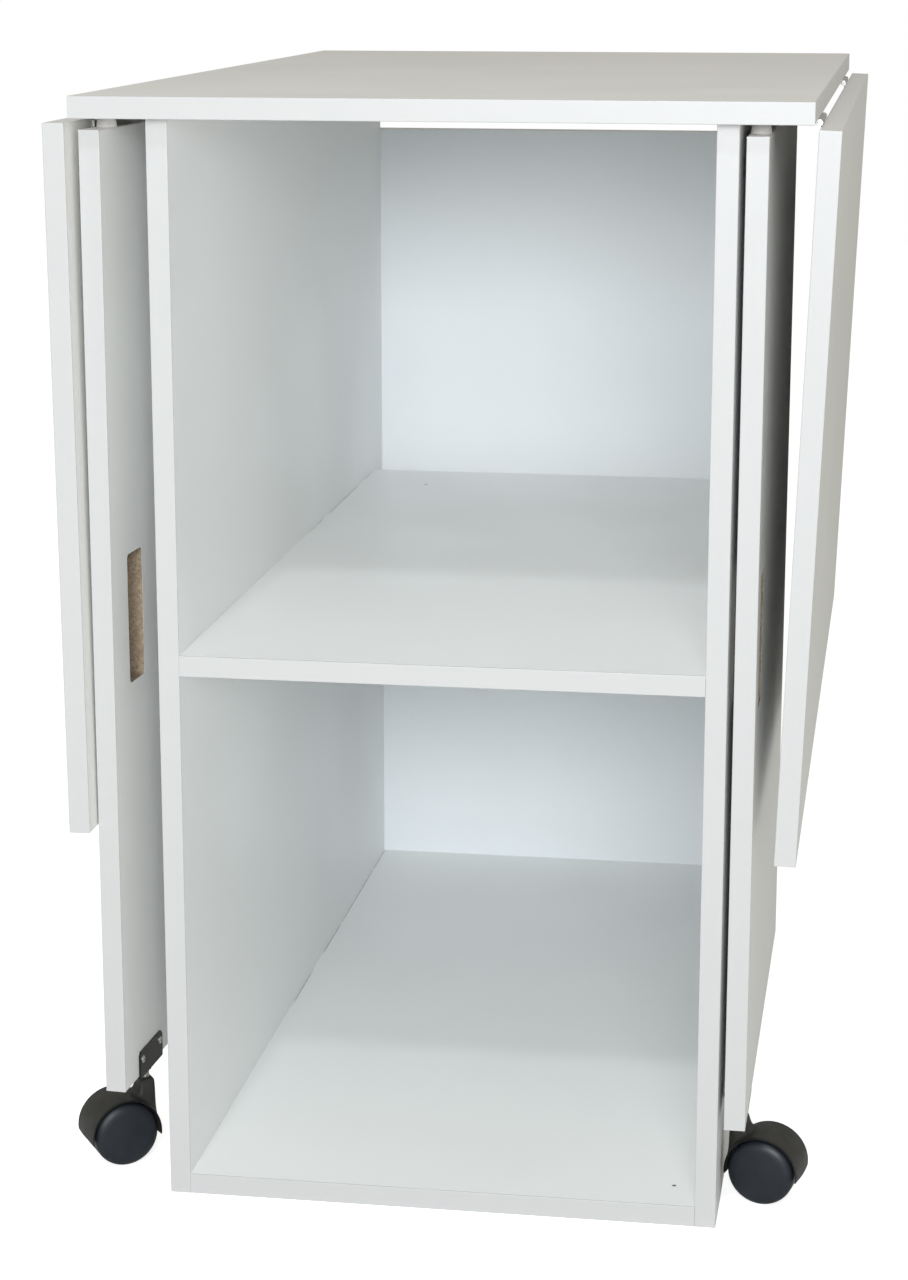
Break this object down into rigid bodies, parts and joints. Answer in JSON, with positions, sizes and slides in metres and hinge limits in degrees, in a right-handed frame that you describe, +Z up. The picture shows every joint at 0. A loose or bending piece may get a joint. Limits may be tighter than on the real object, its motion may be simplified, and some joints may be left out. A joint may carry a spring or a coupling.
{
  "type": "drop-leaf cabinet table",
  "caption": "Narrow open-fronted cabinet with a fixed top, drop leaves hinged along both long edges, and gates on castors that swing out to hold the leaves up.",
  "frame": {"origin": "centre of the cabinet's footprint, on the floor", "axes": "+X to the right seen from the open front, +Y to the back, +Z up"},
  "size_m": [0.5859, 0.914, 0.842],
  "materials": {
    "laminate": "white melamine, satin",
    "edge_band": "white, satin",
    "dowel_wood": "bare beech",
    "cam_zinc": "die-cast, dull",
    "hinge_steel": "zinc plated",
    "screw_steel": "zinc plated",
    "pin_steel": "turned, bright",
    "bracket_steel": "black, semi-gloss",
    "glide_nylon": "natural nylon",
    "hood_plastic": "black, gloss",
    "wheel_plastic": "black, gloss disc, satin tread"
  },
  "bodies": {
    "cabinet": {"top_panel": "laminate", "top_edge_band": "edge_band", "side_panel_left": "laminate", "side_panel_right": "laminate", "bottom_panel": "laminate", "shelf_panel": "laminate", "back_panel": "laminate", "cabinet_edge_bands": "edge_band", "cam_locks": "cam_zinc", "cam_bolts": "cam_zinc", "wood_dowels": "dowel_wood", "back_panel_screws": "screw_steel", "leaf_hinge_fixed_left": "hinge_steel", "leaf_hinge_fixed_right": "hinge_steel", "leaf_hinge_pins": "hinge_steel", "leaf_hinge_screws_fixed": "screw_steel", "gate_hinge_fixed_left": "hinge_steel", "gate_hinge_fixed_right": "hinge_steel", "gate_hinge_pins": "hinge_steel", "gate_hinge_screws_fixed": "screw_steel"},
    "leaf_left": {"leaf_left_panel": "laminate", "leaf_left_edge_band": "edge_band", "leaf_left_hinge_plates": "hinge_steel", "leaf_left_hinge_screws": "screw_steel"},
    "leaf_right": {"leaf_right_panel": "laminate", "leaf_right_edge_band": "edge_band", "leaf_right_hinge_plates": "hinge_steel", "leaf_right_hinge_screws": "screw_steel"},
    "gate_left": {"gate_left_panel": "laminate", "gate_left_edge_band": "edge_band", "gate_left_hinge_plates": "hinge_steel", "gate_left_hinge_screws": "screw_steel", "gate_left_glide": "glide_nylon", "gate_left_castor_bracket": "bracket_steel", "gate_left_bracket_screws": "screw_steel"},
    "gate_right": {"gate_right_panel": "laminate", "gate_right_edge_band": "edge_band", "gate_right_hinge_plates": "hinge_steel", "gate_right_hinge_screws": "screw_steel", "gate_right_glide": "glide_nylon", "gate_right_castor_bracket": "bracket_steel", "gate_right_bracket_screws": "screw_steel"},
    "castor_left": {"castor_left_hood": "hood_plastic", "castor_left_stem": "pin_steel", "castor_left_axle": "pin_steel"},
    "wheel_left_front": {"castor_left_front_wheel": "wheel_plastic"},
    "wheel_left_rear": {"castor_left_rear_wheel": "wheel_plastic"},
    "castor_right": {"castor_right_hood": "hood_plastic", "castor_right_stem": "pin_steel", "castor_right_axle": "pin_steel"},
    "wheel_right_front": {"castor_right_front_wheel": "wheel_plastic"},
    "wheel_right_rear": {"castor_right_rear_wheel": "wheel_plastic"}
  },
  "joints": [
    {"name": "leaf_left_lift", "type": "hinge", "parent": "cabinet", "child": "leaf_left", "pos_m": [-0.2645, 0, 0.8235], "axis": [0, 1, 0], "range_deg": [0, 90.4]},
    {"name": "leaf_right_lift", "type": "hinge", "parent": "cabinet", "child": "leaf_right", "pos_m": [0.2645, 0, 0.8235], "axis": [0, -1, 0], "range_deg": [0, 91.9]},
    {"name": "gate_left_swing", "type": "hinge", "parent": "cabinet", "child": "gate_left", "pos_m": [-0.21435, 0.032, 0.4], "axis": [0, 0, -1], "range_deg": [-2.8, 0.1]},
    {"name": "gate_right_swing", "type": "hinge", "parent": "cabinet", "child": "gate_right", "pos_m": [0.21435, 0.032, 0.4], "axis": [0, 0, 1], "range_deg": [0, 1.9]},
    {"name": "castor_left_swivel", "type": "hinge", "parent": "gate_left", "child": "castor_left", "pos_m": [-0.24998, -0.35851, 0.08], "axis": [0, 0, -1], "range_deg": [0, 50]},
    {"name": "castor_right_swivel", "type": "hinge", "parent": "gate_right", "child": "castor_right", "pos_m": [0.2247, -0.36, 0.08], "axis": [0, 0, 1], "range_deg": [-2, 26]},
    {"name": "wheel_left_front_spin", "type": "hinge", "parent": "castor_left", "child": "wheel_left_front", "pos_m": [-0.26815, -0.37091, 0.026], "axis": [-0.5635, 0.8261, 0], "continuous": true},
    {"name": "wheel_left_rear_spin", "type": "hinge", "parent": "castor_left", "child": "wheel_left_rear", "pos_m": [-0.26815, -0.37091, 0.026], "axis": [-0.5635, 0.8261, 0], "continuous": true},
    {"name": "wheel_right_front_spin", "type": "hinge", "parent": "castor_right", "child": "wheel_right_front", "pos_m": [0.24622, -0.36457, 0.026], "axis": [0.2079, 0.9781, 0], "continuous": true},
    {"name": "wheel_right_rear_spin", "type": "hinge", "parent": "castor_right", "child": "wheel_right_rear", "pos_m": [0.24622, -0.36457, 0.026], "axis": [0.2079, 0.9781, 0], "continuous": true}
  ]
}
